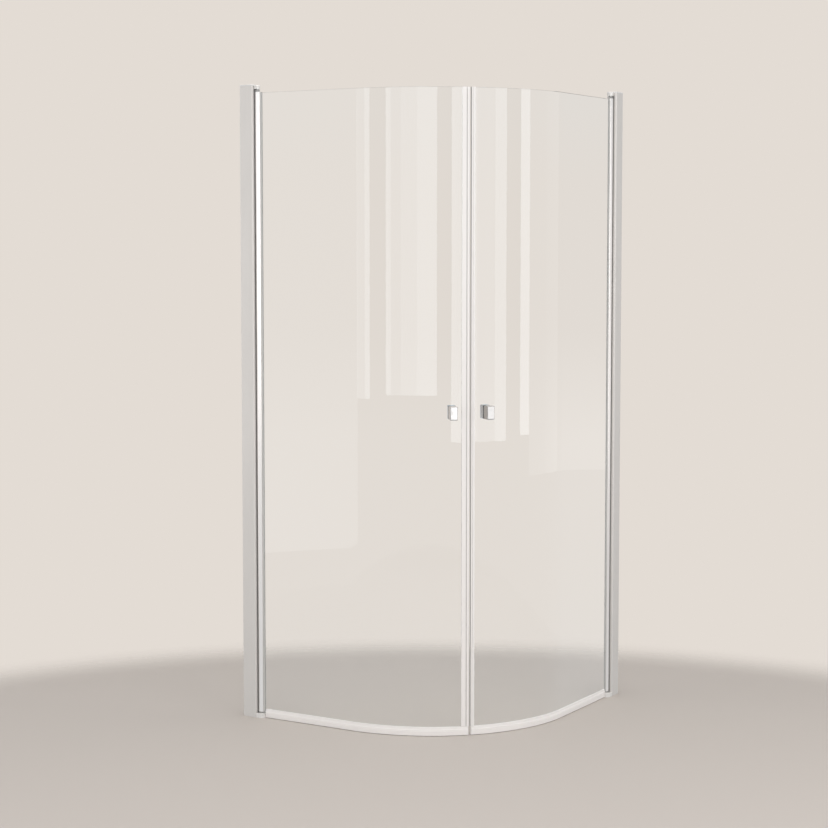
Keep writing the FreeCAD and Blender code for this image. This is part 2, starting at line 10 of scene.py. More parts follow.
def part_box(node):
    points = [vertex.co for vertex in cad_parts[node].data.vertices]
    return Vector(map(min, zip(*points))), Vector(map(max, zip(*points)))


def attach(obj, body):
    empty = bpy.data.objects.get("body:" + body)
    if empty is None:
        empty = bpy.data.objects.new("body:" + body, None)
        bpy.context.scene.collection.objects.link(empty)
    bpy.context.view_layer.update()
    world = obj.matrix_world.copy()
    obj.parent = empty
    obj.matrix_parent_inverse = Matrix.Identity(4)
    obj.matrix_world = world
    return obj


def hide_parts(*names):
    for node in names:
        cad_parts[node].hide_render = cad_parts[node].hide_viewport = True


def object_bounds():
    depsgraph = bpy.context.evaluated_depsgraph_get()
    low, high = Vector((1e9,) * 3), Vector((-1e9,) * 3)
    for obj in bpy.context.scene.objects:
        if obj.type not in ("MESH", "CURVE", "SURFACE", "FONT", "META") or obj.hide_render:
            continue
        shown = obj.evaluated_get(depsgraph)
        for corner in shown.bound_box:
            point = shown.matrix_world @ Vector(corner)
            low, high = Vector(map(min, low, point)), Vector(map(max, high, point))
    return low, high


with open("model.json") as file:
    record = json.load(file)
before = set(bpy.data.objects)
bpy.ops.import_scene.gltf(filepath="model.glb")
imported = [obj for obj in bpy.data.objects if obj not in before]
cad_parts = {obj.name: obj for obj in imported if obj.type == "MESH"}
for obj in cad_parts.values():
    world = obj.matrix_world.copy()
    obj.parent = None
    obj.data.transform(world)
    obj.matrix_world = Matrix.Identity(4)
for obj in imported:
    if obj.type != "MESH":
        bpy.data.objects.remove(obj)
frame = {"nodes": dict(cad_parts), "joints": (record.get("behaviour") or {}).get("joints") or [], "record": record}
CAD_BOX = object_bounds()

bl_info = {
    "name": "Quadrant Shower Enclosure",
    "version": (1, 0, 0),
    "blender": (4, 5, 0),
    "location": "View3D > Sidebar > Shower",
    "description": "Dresses a quadrant shower enclosure of two bent glass doors",
    "category": "Add Mesh",
}

# Both sides are drawn once, in a working frame: u (X) is the distance from the back of the post,
# w (Y) the distance outwards from the middle of the glass, and z is up. side_matrix() carries a
# piece to its side. Along the bent glass, s is the distance back from the line where the doors meet.
SIDES = ("left", "right")


# ---------------------------------------------------------------- sizes that come from the frame
def middle(node):
    low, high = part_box(node)
    return (low + high) / 2


def span(node):
    low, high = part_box(node)
    return high - low


PLAN_CORNER = Vector((CAD_BOX[0].x, CAD_BOX[1].y, 0))
HINGE = frame["joints"][0]["pos_m"][0] - PLAN_CORNER.x
LINE = PLAN_CORNER.y - frame["joints"][0]["pos_m"][1]
PROFILE_SPAN = span("left_wall_profile")
TUBE_LOW, TUBE_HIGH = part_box("left_hinge_tube")
GLASS_LOW, GLASS_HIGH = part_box("left_glass")
SEAL_LOW, SEAL_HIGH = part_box("left_magnet_seal")
SWEEP_LOW, SWEEP_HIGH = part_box("left_bottom_seal")
STRIP_LOW, STRIP_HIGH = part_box("left_magnet_strip")
KNOB_MIDDLE = middle("left_outer_knob")
KNOB_SPAN = span("left_outer_knob")
CLEARANCE = 0.00005        # between a pane or a magnet and what holds it
SLOT_OF = {part["node"]: part["material_slot"] for part in frame["record"]["subparts"]}


# ---------------------------------------------------------------- settings
def length(name, default, description):
    return FloatProperty(
        name=name, default=default, description=description, unit="LENGTH", precision=4)


def colour(name, default, description):
    return FloatVectorProperty(
        name=name, default=default, description=description, subtype="COLOR", size=3, min=0, max=1)


class EnclosureSizes(bpy.types.PropertyGroup):
    """Sizes of the pieces that this script models."""

    bend_start: length("Bend start", 0.400,
                       "End of the straight part of a pane, from the post's back")
    glass_thickness: length("Glass thickness", 0.0059,
                            "Thickness of the pane, just clear of its seals")
    glass_arris: length("Glass arris", 0.0006,
                        "Width of the polished arris on the edges of the pane")
    profile_wall: length("Profile wall", 0.0022, "Wall thickness of the wall profile")
    profile_corner: length("Profile corner", 0.005, "Radius of the shoulders of the wall profile")
    mouth: length("Mouth", 0.018, "Slot between the lips of the wall profile")
    tube_radius: length("Tube radius", 0.0085, "Radius of the hinge tube")
    tube_bore: length("Tube bore", 0.00505, "Radius of the bore of the hinge tube")
    jaw_half: length("Jaw half", 0.0068, "Half the thickness over the two jaws of the hinge tube")
    jaw_reach: length("Jaw reach", 0.0125, "End of the jaws, from the hinge axis")
    slot_half: length("Slot half", 0.0042, "Half the width of the slot between the jaws")
    slot_depth: length("Slot bottom", 0.0065, "Bottom of the slot, from the hinge axis")
    gasket_reach: length("Gasket reach", 0.018, "End of the gasket lips, from the hinge axis")
    seal_gap: length("Seal gap", 0.0024, "Gap between the noses of the two magnetic seals")
    seal_nose: length("Seal nose", 0.0040, "Half the thickness of a magnetic nose")
    clip_half: length("Clip half", 0.0042, "Half the thickness of a seal's clip over the glass")
    sweep_half: length("Sweep half", 0.0062, "Half the thickness of the wiper under the pane")
    sweep_setback: length("Sweep setback", 0.0045,
                          "End of the bottom seal, back from the meeting line")
    ledge_top: length("Ledge top", 0.0195, "Height of the drip ledge of the bottom seal")
    knob_width: length("Knob width", 0.024, "Width of a knob")
    knob_depth: length("Knob depth", 0.028, "Depth of a knob")
    knob_edge: length("Knob edge", 0.003, "Radius on the edges of a knob")
    knob_setback: length("Knob setback", 0.055, "Middle of the knobs, back from the meeting line")
    knob_washer: length("Knob washer", 0.0008, "Thickness of the washer between knob and glass")
    arc_steps: IntProperty(name="Arc steps", default=8, min=3, max=24,
                           description="Flat steps in a quarter circle")
    bend_steps: IntProperty(name="Bend steps", default=64, min=16, max=160,
                            description="Flat steps in the bend of a door")


class EnclosureColours(bpy.types.PropertyGroup):
    """Colours of the finishes."""

    profile: colour("Profiles", (0.642, 0.617, 0.594), "Matt anodised wall profiles")
    # Painted shade: the adjusters are darkened so that the slot between tube and lips, which is in shade, reads
    # dark
    adjuster: colour("Adjusters", (0.33, 0.325, 0.32), "Adjuster profiles darkened as painted shade in the slot")
    bracket: colour("Brackets", (0.74, 0.72, 0.70), "Satin brackets")
    cap: colour("Caps", (0.70, 0.69, 0.68), "Moulded end caps")
    tube: colour("Tubes", (0.78, 0.75, 0.73), "Bright hinge tubes")
    knob: colour("Knobs", (0.42, 0.415, 0.41), "Polished knobs")
    steel: colour("Steel", (0.56, 0.56, 0.55), "Pins, studs and screws")
    bush: colour("Bushes", (0.32, 0.315, 0.31), "Acetal bushes")
    gasket: colour("Gaskets", (0.56, 0.555, 0.54), "Soft grey gaskets")
    seal: colour("Seals", (0.90, 0.875, 0.86), "Translucent white seals")
    magnet: colour("Magnets", (0.70, 0.69, 0.67), "Magnetic strips")
    washer: colour("Washers", (0.80, 0.80, 0.79), "Clear vinyl washers")
    glass: colour("Glass", (0.98, 0.985, 0.985), "Clear toughened glass")


class StudioSettings(bpy.types.PropertyGroup):
    """Floor, backdrop, lights and camera."""

    floor: colour("Floor", (0.545, 0.500, 0.465), "Colour of the floor")
    backdrop: colour("Backdrop", (0.77, 0.715, 0.66), "Colour behind everything")
    ambient: FloatProperty(name="Ambient", default=0.32, min=0,
                           description="Strength of the even light")
    panel: FloatProperty(name="Panels", default=1.0, min=0,
                         description="Brightness of the light panels")
    overhead: FloatProperty(name="Overhead", default=1.0, min=0,
                            description="Brightness of the overhead panel")
    panel_distance: length("Panel distance", 3.6, "From the middle of the bend to the light panels")
    lens: FloatProperty(name="Lens", default=84.5, min=1,
                        description="Focal length of the camera, in mm")


# ---------------------------------------------------------------- drawing aids
def sizes():
    return bpy.context.scene.enclosure_sizes


def bend_radius():
    return LINE - sizes().bend_start


def trace(bm, start, *moves):
    """Draw a closed outline in the XY plane. A move of two numbers is a straight run to that point;
    a move of three is an arc about a centre, with its angle in degrees. Returns the edges."""
    step = 90 / sizes().arc_steps
    first = last = bm.verts.new((*start, 0))
    edges = []
    for move in moves:
        if len(move) == 2:
            new = bm.verts.new((*move, 0))
            edges.append(bm.edges.new((last, new)))
        else:
            centre_x, centre_y, angle = move
            before = set(bm.edges)
            spun = bmesh.ops.spin(
                bm, geom=[last], cent=(centre_x, centre_y, 0), axis=(0, 0, 1),
                angle=math.radians(angle), steps=max(2, round(abs(angle) / step)))
            new = next(g for g in spun["geom_last"] if isinstance(g, bmesh.types.BMVert))
            edges += [edge for edge in bm.edges if edge not in before]
        last = new
    edges.append(bm.edges.new((last, first)))
    return edges


def filled(bm, edges):
    """Fill one outline, or an outline with holes, and return the faces."""
    made = bmesh.ops.triangle_fill(bm, edges=edges, use_beauty=True, use_dissolve=True)
    return [g for g in made["geom"] if isinstance(g, bmesh.types.BMFace)]


def extrude(bm, faces, vector):
    """Extrude a region of faces by a vector and return the moved faces."""
    made = bmesh.ops.extrude_face_region(bm, geom=faces)["geom"]
    moved = [g for g in made if isinstance(g, bmesh.types.BMVert)]
    bmesh.ops.translate(bm, vec=vector, verts=moved)
    return [g for g in made if isinstance(g, bmesh.types.BMFace)]


def mirrored(points):
    """Complete half an outline, given on the +w side, with its mirror image."""
    return points + [(-w, z) for w, z in reversed(points)]


def rod(bm, radius, depth, place, segments=32):
    """A round rod about the Z axis of its place, to drill a hole with."""
    bmesh.ops.create_cone(bm, cap_ends=True, segments=segments, radius1=radius, radius2=radius,
                          depth=depth, matrix=place)


def upright(bm, faces, bottom, top):
    """Extrude an outline drawn on the floor from one height to another."""
    bmesh.ops.translate(bm, vec=(0, 0, bottom), verts=bm.verts)
    return extrude(bm, faces, (0, 0, top - bottom))


def along_glass(bm, faces, start, setback):
    """Sweep an outline, drawn with w as X and z as Y, along the straight and the bend of a door."""
    stand = Matrix(((0, 0, 1, 0), (1, 0, 0, 0), (0, 1, 0, 0), (0, 0, 0, 1)))
    bmesh.ops.transform(bm, matrix=stand, verts=bm.verts)
    bmesh.ops.translate(bm, vec=(start, 0, 0), verts=bm.verts)
    faces = extrude(bm, faces, (sizes().bend_start - start, 0, 0))
    geometry = list(faces)
    geometry += {edge for face in faces for edge in face.edges}
    geometry += {vert for face in faces for vert in face.verts}
    bmesh.ops.spin(
        bm, geom=geometry, cent=(sizes().bend_start, -bend_radius(), 0), axis=(0, 0, 1),
        angle=setback / bend_radius() - math.pi / 4, steps=sizes().bend_steps)


def on_bend(bm, s):
    """Move what is drawn about the glass middle (X out, Y along, Z up) to s back from the end."""
    angle = math.pi / 4 + s / bend_radius()
    centre = Matrix.Translation((sizes().bend_start, -bend_radius(), 0))
    turn = Matrix.Rotation(angle, 4, "Z")
    reach = Matrix.Translation((bend_radius(), 0, 0))
    bmesh.ops.transform(bm, matrix=centre @ turn @ reach, verts=bm.verts)


def wrap(bm):
    """Bend what is drawn flat, with s as X and w as Y, round the end of the glass."""
    for vert in bm.verts:
        angle = math.pi / 4 + vert.co.x / bend_radius()
        reach = bend_radius() + vert.co.y
        vert.co.x = sizes().bend_start + reach * math.cos(angle)
        vert.co.y = reach * math.sin(angle) - bend_radius()


def side_matrix(side):
    """From the working frame to the row frame: mirrored on the left, turned on the right."""
    if side == "left":
        return Matrix(((1, 0, 0, PLAN_CORNER.x), (0, -1, 0, PLAN_CORNER.y - LINE),
                       (0, 0, 1, 0), (0, 0, 0, 1)))
    return Matrix(((0, 1, 0, PLAN_CORNER.x + LINE), (-1, 0, 0, PLAN_CORNER.y),
                   (0, 0, 1, 0), (0, 0, 0, 1)))


def to_object(bm, name, side):
    """Write a bmesh, drawn in the working frame, to an object on its side."""
    bmesh.ops.transform(bm, matrix=side_matrix(side), verts=bm.verts)
    bmesh.ops.remove_doubles(bm, verts=bm.verts, dist=1e-6)
    bmesh.ops.recalc_face_normals(bm, faces=bm.faces)
    mesh = bpy.data.meshes.new(name)
    bm.to_mesh(mesh)
    bm.free()
    piece = bpy.data.objects.new(name, mesh)
    bpy.context.scene.collection.objects.link(piece)
    return piece


def drilled(piece, cutter):
    """Cut the cutter out of the piece, whose mesh is then the result, and remove the cutter."""
    cut = piece.modifiers.new("Drill", "BOOLEAN")
    cut.object = cutter
    cut.operation = "DIFFERENCE"
    cut.solver = "EXACT"
    graph = bpy.context.evaluated_depsgraph_get()
    piece.data = bpy.data.meshes.new_from_object(piece.evaluated_get(graph))
    piece.modifiers.remove(cut)
    bpy.data.objects.remove(cutter)
    return piece


def dress(piece, side, body, node, material, sharp=30):
    """Give a finished piece its shading, body and material, and hide the carried node that it stands in for."""
    for polygon in piece.data.polygons:
        polygon.use_smooth = True
    piece.data.set_sharp_from_angle(angle=math.radians(sharp))
    piece.data.materials.clear()
    piece.data.materials.append(material)
    weighted = piece.modifiers.new("Weighted normals", "WEIGHTED_NORMAL")
    weighted.keep_sharp = True
    name = side + "_" + node
    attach(piece, body)
    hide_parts(name)


def door(side):
    return side + "_door"


# ---------------------------------------------------------------- finishes
def blank(name):
    """A new material of this name, with its node tree and its shader."""
    material = bpy.data.materials.get(name)
    if material:
        bpy.data.materials.remove(material)
    material = bpy.data.materials.new(name)
    material.use_nodes = True
    return material, material.node_tree, material.node_tree.nodes["Principled BSDF"]


def noise(tree, stretch, scale, detail=3.0):
    """Noise on Object coordinates, in 1/m, stretched along the axes."""
    place = tree.nodes.new("ShaderNodeTexCoord")
    mapping = tree.nodes.new("ShaderNodeMapping")
    mapping.inputs["Scale"].default_value = stretch
    grain = tree.nodes.new("ShaderNodeTexNoise")
    grain.inputs["Scale"].default_value = scale
    grain.inputs["Detail"].default_value = detail
    tree.links.new(place.outputs["Object"], mapping.inputs["Vector"])
    tree.links.new(mapping.outputs["Vector"], grain.inputs["Vector"])
    return grain.outputs["Fac"]


def ranged(tree, value, low, high):
    """Map the middle of a noise to a range."""
    node = tree.nodes.new("ShaderNodeMapRange")
    node.inputs["From Min"].default_value = 0.3
    node.inputs["From Max"].default_value = 0.7
    node.inputs["To Min"].default_value = low
    node.inputs["To Max"].default_value = high
    tree.links.new(value, node.inputs["Value"])
    return node.outputs["Result"]


def shaded(tree, value, shade, spread):
    """A colour that runs between a little darker and a little lighter with a noise."""
    mix = tree.nodes.new("ShaderNodeMix")
    mix.data_type = "RGBA"
    mix.inputs["A"].default_value = (*(channel * (1 - spread) for channel in shade), 1)
    mix.inputs["B"].default_value = (*(min(1, channel * (1 + spread)) for channel in shade), 1)
    tree.links.new(ranged(tree, value, 0, 1), mix.inputs["Factor"])
    return mix.outputs["Result"]


def bumped(tree, shader, height, distance):
    """Give the shader a relief of this depth, in metres."""
    bump = tree.nodes.new("ShaderNodeBump")
    bump.inputs["Distance"].default_value = distance
    bump.inputs["Strength"].default_value = 1.0
    tree.links.new(height, bump.inputs["Height"])
    tree.links.new(bump.outputs["Normal"], shader.inputs["Normal"])


def colour_ramp(tree, stops):
    """A ramp through the given positions and colours, from the lowest upwards."""
    ramp = tree.nodes.new("ShaderNodeValToRGB")
    elements = ramp.color_ramp.elements
    for index, (position, shade) in enumerate(stops):
        stop = elements[index] if index < 2 else elements.new(1)
        stop.position = position
        stop.color = (*shade, 1)
    return ramp


def drawn_metal(name, shade, rough, line_depth, metallic=1.0):
    """Extruded metal: fine draw lines along Z, with a slow change of sheen over the length."""
    material, tree, shader = blank(name)
    lines = noise(tree, (1, 1, 0.004), 1400, 2.0)
    cloud = noise(tree, (1, 1, 0.3), 9)
    tree.links.new(shaded(tree, cloud, shade, 0.02), shader.inputs["Base Color"])
    tree.links.new(ranged(tree, lines, rough * 0.85, rough * 1.15), shader.inputs["Roughness"])
    shader.inputs["Metallic"].default_value = metallic
    bumped(tree, shader, lines, line_depth)
    return material


def polished_metal(name, shade, rough, metallic=1.0):
    """Polished metal with faint wipe marks in its sheen."""
    material, tree, shader = blank(name)
    wipes = noise(tree, (1, 1, 1.6), 60, 5.0)
    tree.links.new(shaded(tree, wipes, shade, 0.01), shader.inputs["Base Color"])
    tree.links.new(ranged(tree, wipes, rough * 0.6, rough * 1.5), shader.inputs["Roughness"])
    shader.inputs["Metallic"].default_value = metallic
    return material


def moulded(name, shade, rough, grain_depth):
    """Moulded plastic with a fine spark-eroded grain."""
    material, tree, shader = blank(name)
    grain = noise(tree, (1, 1, 1), 2600, 2.0)
    cloud = noise(tree, (1, 1, 1), 40)
    tree.links.new(shaded(tree, cloud, shade, 0.03), shader.inputs["Base Color"])
    tree.links.new(ranged(tree, grain, rough * 0.9, rough * 1.1), shader.inputs["Roughness"])
    bumped(tree, shader, grain, grain_depth)
    return material


def soft_vinyl(name, shade, rough, glow):
    """Extruded vinyl that lets a little light into itself, a shade cloudy."""
    material, tree, shader = blank(name)
    cloud = noise(tree, (1, 1, 0.5), 30)
    tree.links.new(shaded(tree, cloud, shade, 0.008), shader.inputs["Base Color"])
    tree.links.new(ranged(tree, cloud, rough * 0.85, rough * 1.15), shader.inputs["Roughness"])
    shader.inputs["Specular IOR Level"].default_value = 0.2
    shader.inputs["Subsurface Weight"].default_value = glow
    shader.inputs["Subsurface Radius"].default_value = (1.0, 1.0, 0.9)
    shader.inputs["Subsurface Scale"].default_value = 0.001
    return material


# Painted shade on the two seals that meet: distance from the plane in which the doors meet, less than the
# reach, and how light the vinyl is painted there. The 0.40 band paints the shade in the joint between
# the noses, and the 0.62 band the shade in the groove of the left seal. The left door is on the negative side.
MEETING_REACH = 0.020
MEETING_PAINTED_SHADE = (
    (-0.0130, 1.0), (-0.0125, 0.62), (-0.0106, 0.62), (-0.0101, 1.0),
    (-0.0034, 1.0), (-0.0020, 0.40), (0.0020, 0.40), (0.0034, 1.0))


def meeting_vinyl_painted_shade(name, shade, rough, glow):
    """Vinyl of the two seals that meet, with painted shade: grey on the facing sides of the noses, as painted
    shade in the joint between them, and a little darker on the left one, as painted shade in the groove
    where its web between nose and clip is thin."""
    material = soft_vinyl(name, shade, rough, glow)
    tree = material.node_tree
    shader = tree.nodes["Principled BSDF"]
    place = tree.nodes.new("ShaderNodeTexCoord")
    across = tree.nodes.new("ShaderNodeVectorMath")
    across.operation = "DOT_PRODUCT"
    across.inputs[1].default_value = (math.sqrt(0.5), math.sqrt(0.5), 0)
    back = tree.nodes.new("ShaderNodeMapRange")
    back.inputs["From Min"].default_value = -MEETING_REACH
    back.inputs["From Max"].default_value = MEETING_REACH
    # the ramp paints the shade of the joint and of the left groove, multiplied into the vinyl's colour below
    ramp = colour_ramp(tree, [((distance / MEETING_REACH + 1) / 2, (level, level, level))
                              for distance, level in MEETING_PAINTED_SHADE])
    mix = tree.nodes.new("ShaderNodeMix")
    mix.data_type = "RGBA"
    mix.blend_type = "MULTIPLY"
    mix.inputs["Factor"].default_value = 1
    cloudy = shader.inputs["Base Color"].links[0].from_socket
    tree.links.new(place.outputs["Object"], across.inputs[0])
    tree.links.new(across.outputs["Value"], back.inputs["Value"])
    tree.links.new(back.outputs["Result"], ramp.inputs["Fac"])
    tree.links.new(cloudy, mix.inputs["A"])
    tree.links.new(ramp.outputs["Color"], mix.inputs["B"])
    tree.links.new(mix.outputs["Result"], shader.inputs["Base Color"])
    return material


GLASS_SHEEN = (0.86, 0.94, 1.0)        # tint of what the glass mirrors
GLASS_SHADOW = (0.95, 0.97, 0.965)     # tint of the light that lamps send through it


def clear_glass(name, shade):
    """Clear float glass; lamps shine through it."""
    material, tree, shader = blank(name)
    shader.inputs["Base Color"].default_value = (*shade, 1)
    shader.inputs["Transmission Weight"].default_value = 1.0
    shader.inputs["Roughness"].default_value = 0.0
    shader.inputs["IOR"].default_value = 1.55
    shader.inputs["Specular Tint"].default_value = (*GLASS_SHEEN, 1)
    light_path = tree.nodes.new("ShaderNodeLightPath")
    through = tree.nodes.new("ShaderNodeBsdfTransparent")
    through.inputs["Color"].default_value = (*GLASS_SHADOW, 1)
    mix = tree.nodes.new("ShaderNodeMixShader")
    output = tree.nodes["Material Output"]
    tree.links.new(light_path.outputs["Is Shadow Ray"], mix.inputs["Fac"])
    tree.links.new(shader.outputs["BSDF"], mix.inputs[1])
    tree.links.new(through.outputs["BSDF"], mix.inputs[2])
    tree.links.new(mix.outputs["Shader"], output.inputs["Surface"])
    return material


FINISHES = {
    "profile": lambda c: drawn_metal("matt anodised aluminium", c.profile, 0.50, 0.00001, 0.35),
    # darker than the profiles, as painted shade in the slot
    "adjuster": lambda c: drawn_metal("anodised aluminium darkened as painted slot shade", c.adjuster, 0.60, 0.00001, 0.35),
    "end_cap": lambda c: moulded("satin moulding", c.cap, 0.42, 0.00003),
    "bracket": lambda c: polished_metal("satin casting", c.bracket, 0.40, 0.3),
    "hinge_tube": lambda c: drawn_metal("bright tube", c.tube, 0.30, 0.000003),
    "steel": lambda c: drawn_metal("turned steel", c.steel, 0.30, 0.00001),
    "bush": lambda c: moulded("acetal", c.bush, 0.40, 0.00001),
    "screw_cap": lambda c: moulded("glossy moulding", c.cap, 0.20, 0.000005),
    "gasket": lambda c: soft_vinyl("grey vinyl", c.gasket, 0.38, 0.1),
    "seal": lambda c: soft_vinyl("white vinyl", c.seal, 0.45, 0.08),
    # vinyl with painted shade in the joint between the noses and in the left seal's groove
    "magnet_seal": lambda c: meeting_vinyl_painted_shade("white vinyl with painted joint shade", c.seal, 0.45, 0.08),
    "magnet": lambda c: soft_vinyl("magnet sleeve", c.magnet, 0.50, 0.1),
    "glass": lambda c: clear_glass("clear glass", c.glass),
    "knob": lambda c: polished_metal("chrome", c.knob, 0.10),
    "washer": lambda c: soft_vinyl("clear vinyl", c.washer, 0.30, 0.3),
}
_made = {}


def finish_of(name):
    """A finish, made when it is first asked for."""
    if name not in _made:
        _made[name] = FINISHES[name](bpy.context.scene.enclosure_colours)
    return _made[name]


def finish_of_node(node):
    """The finish of a part's slot, but on the adjusters, which share the profiles' slot, a darker one that paints
    the shade in the slot of the wall profile.
    """
    return finish_of("adjuster" if node.endswith("adjuster_profile") else SLOT_OF[node])


# ---------------------------------------------------------------- pieces
class SHOWER_OT_carried_parts(bpy.types.Operator):
    """Give every part of the frame its finish"""

    bl_idname = "shower.carried_parts"
    bl_label = "Finish the carried parts"

    def execute(self, context):
        for name, node in frame["nodes"].items():
            node.data.materials.clear()
            node.data.materials.append(finish_of_node(name))
        return {"FINISHED"}


class SHOWER_OT_wall_profiles(bpy.types.Operator):
    """Extrude the two wall profiles, with their shoulders, lips and screw holes"""

    bl_idname = "shower.wall_profiles"
    bl_label = "Wall profiles"

    lip_edge = 0.0008          # radius on the lips of the slot
    hole_heights = (0.150, 0.716, 1.284, 1.850)
    clamp_heights = (0.200, 1.000, 1.800)
    clamp_out = 0.024          # distance of the clamp screws from the back
    hole_radius = 0.00275
    clamp_radius = 0.0022

    def profile(self, side):
        size = sizes()
        wall, corner, lip = size.profile_wall, size.profile_corner, size.mouth / 2
        depth, half, height = PROFILE_SPAN.x, PROFILE_SPAN.y / 2, PROFILE_SPAN.z
        ease = self.lip_edge
        bm = bmesh.new()
        edges = trace(
            bm, (0, -half),
            (depth - corner, -half), (depth - corner, corner - half, 90),
            (depth, -lip - ease), (depth - ease, -lip - ease, 90),
            (depth - wall + ease / 2, -lip), (depth - wall, -lip - ease / 2),
            (depth - wall, corner - half), (depth - corner, corner - half, -90),
            (wall, wall - half), (wall, half - wall),
            (depth - corner, half - wall), (depth - corner, half - corner, -90),
            (depth - wall, lip + ease / 2), (depth - wall + ease / 2, lip),
            (depth - ease, lip), (depth - ease, lip + ease, 90),
            (depth, half - corner), (depth - corner, half - corner, 90),
            (0, half))
        upright(bm, filled(bm, edges), 0, height)
        return to_object(bm, side + "_wall_channel", side)

    def holes(self, side):
        """The drill for the fixing holes in the back and the clamp screws in the inner flank."""
        size = sizes()
        bm = bmesh.new()
        for height in self.hole_heights:
            place = Matrix.Translation((0, 0, height)) @ Matrix.Rotation(math.pi / 2, 4, "Y")
            rod(bm, self.hole_radius, 4 * size.profile_wall, place)
        for height in self.clamp_heights:
            place = Matrix.Translation((self.clamp_out, -PROFILE_SPAN.y / 2, height))
            place = place @ Matrix.Rotation(math.pi / 2, 4, "X")
            rod(bm, self.clamp_radius, 4 * size.profile_wall, place)
        return to_object(bm, side + "_drill", side)

    def execute(self, context):
        for side in SIDES:
            piece = drilled(self.profile(side), self.holes(side))
            dress(piece, side, "root", "wall_profile", finish_of("profile"))
        return {"FINISHED"}


class SHOWER_OT_hinge_tubes(bpy.types.Operator):
    """Extrude the round tubes, which taper to the two jaws that hold the glass"""

    bl_idname = "shower.hinge_tubes"
    bl_label = "Hinge tubes"

    jaw_corner = 0.0016

    def section(self, bm):
        """The tube with its bore and jaws, about the hinge axis."""
        size = sizes()
        radius, jaw, reach = size.tube_radius, size.jaw_half, size.jaw_reach
        slot, slot_end, corner = size.slot_half, size.slot_depth, self.jaw_corner
        # The flanks touch the tube and the corners of the jaws, so they share one normal there.
        corner_x, corner_y = reach - corner, jaw - corner
        spread = math.acos((radius - corner) / math.hypot(corner_x, corner_y))
        normal = math.atan2(corner_y, corner_x) + spread
        across, along, turn = math.sin(normal), math.cos(normal), math.degrees(normal)
        edges = trace(
            bm, (slot_end, -slot),
            (reach, -slot), (reach, -corner_y), (corner_x, -corner_y, -turn),
            (radius * along, -radius * across), (0, 0, 2 * turn - 360),
            (corner_x + corner * along, corner_y + corner * across), (corner_x, corner_y, -turn),
            (reach, slot), (slot_end, slot))
        bore = bmesh.ops.create_circle(bm, segments=40, radius=size.tube_bore)["verts"]
        edges += {edge for vert in bore for edge in vert.link_edges}
        return filled(bm, edges)

    def execute(self, context):
        for side in SIDES:
            bm = bmesh.new()
            faces = self.section(bm)
            bmesh.ops.translate(bm, vec=(HINGE, 0, 0), verts=bm.verts)
            upright(bm, faces, TUBE_LOW.z, TUBE_HIGH.z)
            dress(to_object(bm, side + "_door_tube", side), side, door(side), "hinge_tube",
                  finish_of("hinge_tube"))
        return {"FINISHED"}


class SHOWER_OT_glass_panes(bpy.types.Operator):
    """Bend the two panes, straight beside the post and then round to the meeting line"""

    bl_idname = "shower.glass_panes"
    bl_label = "Glass panes"

    edge_setback = {"left": 0.0145, "right": 0.0097}
    gasket_floor = 0.0009      # between the bottom of the slot and the edge of the glass
    hole_radius = 0.005

    def execute(self, context):
        size = sizes()
        half, arris = size.glass_thickness / 2, size.glass_arris
        low, high = GLASS_LOW.z, GLASS_HIGH.z
        outline = mirrored([(half - arris, low), (half, low + arris),
                            (half, high - arris), (half - arris, high)])
        for side in SIDES:
            bm = bmesh.new()
            faces = filled(bm, trace(bm, *outline))
            start = HINGE + size.slot_depth + self.gasket_floor
            along_glass(bm, faces, start, self.edge_setback[side])
            pane = to_object(bm, side + "_pane", side)
            bm = bmesh.new()
            place = Matrix.Translation((0, 0, KNOB_MIDDLE.z)) @ Matrix.Rotation(math.pi / 2, 4, "Y")
            rod(bm, self.hole_radius, 8 * half, place, segments=48)
            on_bend(bm, size.knob_setback)
            pane = drilled(pane, to_object(bm, side + "_drill", side))
            dress(pane, side, door(side), "glass", finish_of("glass"), sharp=20)
        return {"FINISHED"}


class SHOWER_OT_gaskets(bpy.types.Operator):
    """Extrude the channel gaskets that close the jaws on the glass"""

    bl_idname = "shower.gaskets"
    bl_label = "Glass gaskets"

    floor = 0.0008             # thickness under the edge of the glass

    def execute(self, context):
        size = sizes()
        half = size.glass_thickness / 2 + CLEARANCE
        slot, bottom, jaw_end = size.slot_half, size.slot_depth, size.jaw_reach
        tip = size.gasket_reach
        # Beyond the jaws the lips swell a little, and then run out to a rounded tip on the glass.
        outline = [
            (bottom, slot), (jaw_end, slot), (jaw_end + 0.0004, slot + 0.0005),
            (tip - 0.0004, half + 0.0007), (tip, half + 0.0003), (tip, half),
            (bottom + self.floor, half)]
        outline += [(u, -w) for u, w in reversed(outline)]
        for side in SIDES:
            bm = bmesh.new()
            faces = filled(bm, trace(bm, *outline))
            bmesh.ops.translate(bm, vec=(HINGE, 0, 0), verts=bm.verts)
            upright(bm, faces, TUBE_LOW.z, GLASS_HIGH.z)
            dress(to_object(bm, side + "_pane_gasket", side), side, door(side), "glass_gasket",
                  finish_of("gasket"))
        return {"FINISHED"}


